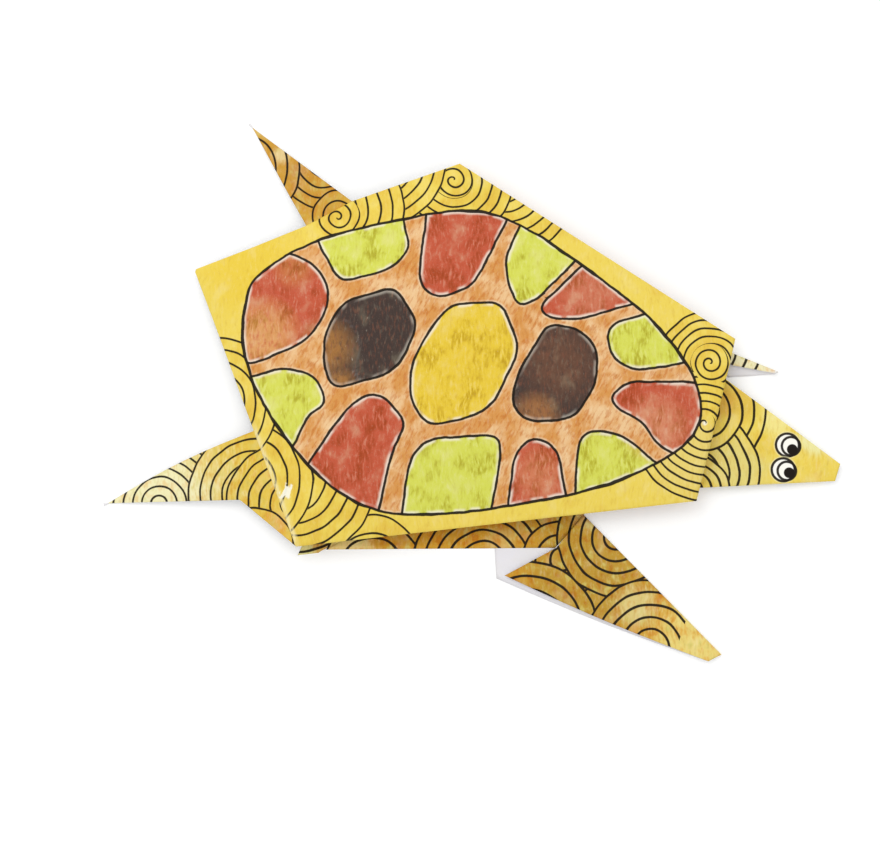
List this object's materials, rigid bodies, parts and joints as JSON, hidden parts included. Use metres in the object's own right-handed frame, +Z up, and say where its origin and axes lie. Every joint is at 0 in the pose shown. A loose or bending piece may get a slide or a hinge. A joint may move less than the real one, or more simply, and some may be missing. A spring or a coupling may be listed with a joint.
{
  "type": "origami turtle",
  "caption": "Flat-bottomed turtle folded from a square of printed paper, coloured in with pencil: domed scute shell, pointed legs, head from under a pleat.",
  "frame": {"origin": "centre of the turtle's bounding box in plan, on the table it rests on", "axes": "+X from the tail corner towards the snout, +Y to the turtle's left, +Z up"},
  "size_m": [0.1984, 0.1254, 0.0136],
  "materials": {
    "printed_paper": "uncoated paper, line print coloured in with wax pencil on one side, bare white on the other"
  },
  "bodies": {
    "root": {"folded_sheet": "printed_paper"}
  },
  "joints": []
}
